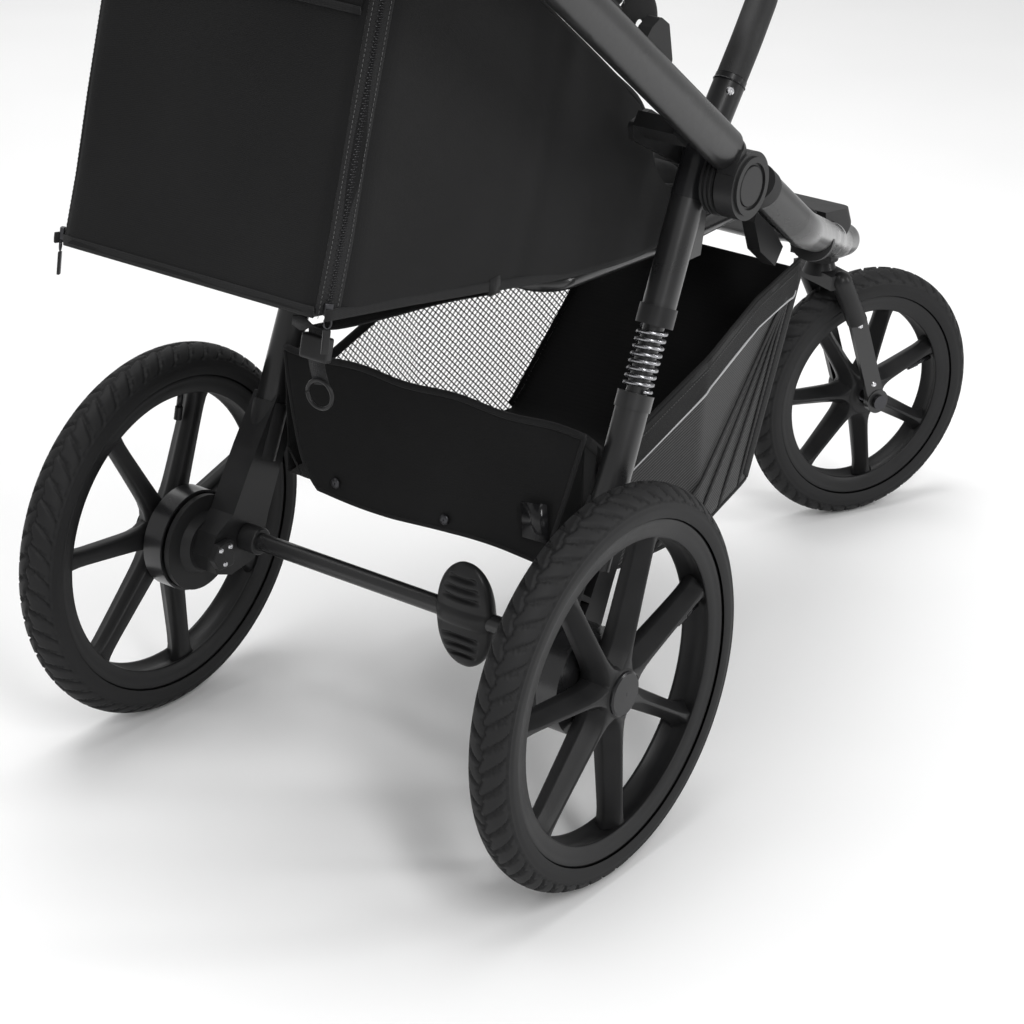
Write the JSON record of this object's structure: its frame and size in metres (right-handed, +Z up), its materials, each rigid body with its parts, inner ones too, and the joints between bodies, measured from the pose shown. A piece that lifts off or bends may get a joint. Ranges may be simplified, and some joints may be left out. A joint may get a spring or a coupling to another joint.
{
  "type": "three-wheel baby stroller",
  "caption": "Three-wheel baby stroller with a hinged folding frame, sprung rear legs, swivelling front fork, reclining fabric seat, hood, bumper bar and mesh basket.",
  "frame": {"origin": "on the floor under the middle of the stroller's length and width", "axes": "+X to the stroller's left, -Y the way it travels, +Z up"},
  "size_m": [0.606, 1.3654, 1.122],
  "materials": {
    "frame_paint": "satin",
    "moulded_black": "matte",
    "gloss_black": "gloss",
    "tyre_rubber": "matte",
    "fabric_black": "woven",
    "grip_foam": "grained",
    "spring_steel": "satin",
    "bright_steel": "polished",
    "drum_metal": "satin"
  },
  "bodies": {
    "chassis": {"front_frame_tube": "frame_paint", "hinge_lower": "moulded_black", "hinge_pin": "spring_steel", "steering_head": "moulded_black", "seat_rail": "frame_paint", "seat_bracket": "moulded_black", "bumper_post": "frame_paint", "seat_pad": "fabric_black", "basket": "fabric_black"},
    "push_arm": {"push_bar_tube": "frame_paint", "handle_grip": "grip_foam", "hinge_upper": "gloss_black", "leg_bracket": "moulded_black", "hood_mount": "moulded_black"},
    "rear_legs": {"leg_cap": "gloss_black", "leg_pin": "spring_steel", "leg_upper_tube": "frame_paint", "leg_upper_collar": "moulded_black", "leg_spring": "spring_steel"},
    "axle_unit": {"leg_lower_tube": "frame_paint", "axle_carrier": "moulded_black", "cross_tube": "frame_paint", "cross_tube_collar": "gloss_black", "brake_plate": "moulded_black", "axle_cover": "gloss_black", "axle_cover_screw": "bright_steel", "axle_pin": "spring_steel", "wheel_bearing": "spring_steel"},
    "pedal": {"brake_pedal": "gloss_black"},
    "wheel_right": {"rear_rim_right": "moulded_black", "rear_tyre_right": "tyre_rubber", "hub_cap_right": "gloss_black", "brake_drum_right": "drum_metal"},
    "wheel_left": {"rear_rim_left": "moulded_black", "rear_tyre_left": "tyre_rubber", "hub_cap_left": "gloss_black", "brake_drum_left": "drum_metal"},
    "fork": {"fork_stem": "spring_steel", "fork_blades": "frame_paint", "fork_crown": "moulded_black", "front_axle": "spring_steel", "fork_screw": "bright_steel", "front_bearing": "spring_steel"},
    "front_wheel": {"front_rim": "moulded_black", "front_tyre": "tyre_rubber"},
    "lock_knob": {"swivel_lock": "moulded_black"},
    "backrest": {"seat_back": "fabric_black", "backrest_board": "moulded_black"},
    "footrest": {"footrest_board": "moulded_black", "footrest_cover": "fabric_black", "footrest_plate": "moulded_black"},
    "hood": {"hood_bows": "moulded_black", "hood_canopy": "fabric_black"},
    "bumper": {"bumper_bar": "grip_foam", "bumper_sleeve": "gloss_black", "bumper_screw": "bright_steel"},
    "bumper_key_right": {"bumper_button_right": "gloss_black"},
    "bumper_key_left": {"bumper_button_left": "gloss_black"},
    "fold_key_right": {"hinge_button_right": "gloss_black"},
    "fold_key_left": {"hinge_button_left": "gloss_black"}
  },
  "joints": [
    {"name": "frame_fold", "type": "hinge", "parent": "chassis", "child": "push_arm", "pos_m": [0, 0.16075, 0.635], "axis": [1, 0, 0], "range_deg": [0, 80], "deforming": ["seat_pad", "seat_back", "basket", "hood_canopy", "hood_bows"]},
    {"name": "leg_fold", "type": "hinge", "parent": "push_arm", "child": "rear_legs", "pos_m": [0, 0.15625, 0.6545], "axis": [1, 0, 0], "range_deg": [-144, 0]},
    {"name": "suspension", "type": "slide", "parent": "rear_legs", "child": "axle_unit", "axis": [0, -0.3827, 0.9239], "range_m": [0, 0.025], "stiffness_N_per_m": 9000, "springref_m": -0.02, "deforming": ["leg_spring"]},
    {"name": "brake_press", "type": "hinge", "parent": "axle_unit", "child": "pedal", "pos_m": [0, 0.34875, 0.206], "axis": [1, 0, 0], "range_deg": [-14, 14]},
    {"name": "wheel_right_spin", "type": "hinge", "parent": "axle_unit", "child": "wheel_right", "pos_m": [-0.2805, 0.37875, 0.2], "axis": [1, 0, 0], "continuous": true},
    {"name": "wheel_left_spin", "type": "hinge", "parent": "axle_unit", "child": "wheel_left", "pos_m": [0.2805, 0.37875, 0.2], "axis": [1, 0, 0], "continuous": true},
    {"name": "fork_swivel", "type": "hinge", "parent": "chassis", "child": "fork", "pos_m": [0, -0.46925, 0.33], "axis": [0, 0, 1], "continuous": true},
    {"name": "front_wheel_spin", "type": "hinge", "parent": "fork", "child": "front_wheel", "pos_m": [-0.0293, -0.53568, 0.1585], "axis": [0.915, -0.4035, 0], "continuous": true},
    {"name": "swivel_lock_pull", "type": "slide", "parent": "chassis", "child": "lock_knob", "axis": [0, -1, 0], "range_m": [0, 0.006], "stiffness_N_per_m": 400, "springref_m": -0.004},
    {"name": "backrest_recline", "type": "hinge", "parent": "chassis", "child": "backrest", "pos_m": [0, 0.28675, 0.552], "axis": [1, 0, 0], "range_deg": [0, 60], "deforming": ["seat_back"]},
    {"name": "footrest_tilt", "type": "hinge", "parent": "chassis", "child": "footrest", "pos_m": [0, 0.02275, 0.578], "axis": [-1, 0, 0], "range_deg": [0, 18]},
    {"name": "hood_fold", "type": "hinge", "parent": "push_arm", "child": "hood", "pos_m": [0, 0.28275, 0.8], "axis": [-1, 0, 0], "range_deg": [0, 45], "deforming": ["hood_canopy"]},
    {"name": "bumper_release", "type": "slide", "parent": "chassis", "child": "bumper", "axis": [0, -0.5919, 0.806], "range_m": [0, 0.045]},
    {"name": "bumper_key_right_press", "type": "slide", "parent": "bumper", "child": "bumper_key_right", "axis": [0, -0.806, -0.5919], "range_m": [0, 0.003], "stiffness_N_per_m": 500, "springref_m": -0.002},
    {"name": "bumper_key_left_press", "type": "slide", "parent": "bumper", "child": "bumper_key_left", "axis": [0, -0.806, -0.5919], "range_m": [0, 0.003], "stiffness_N_per_m": 500, "springref_m": -0.002},
    {"name": "fold_key_right_press", "type": "slide", "parent": "push_arm", "child": "fold_key_right", "axis": [1, 0, 0], "range_m": [0, 0.004], "stiffness_N_per_m": 500, "springref_m": -0.002},
    {"name": "fold_key_left_press", "type": "slide", "parent": "push_arm", "child": "fold_key_left", "axis": [-1, 0, 0], "range_m": [0, 0.004], "stiffness_N_per_m": 500, "springref_m": -0.002}
  ],
  "couplings": [
    {"joint": "leg_fold", "follows": "frame_fold", "ratio": -1.8}
  ]
}
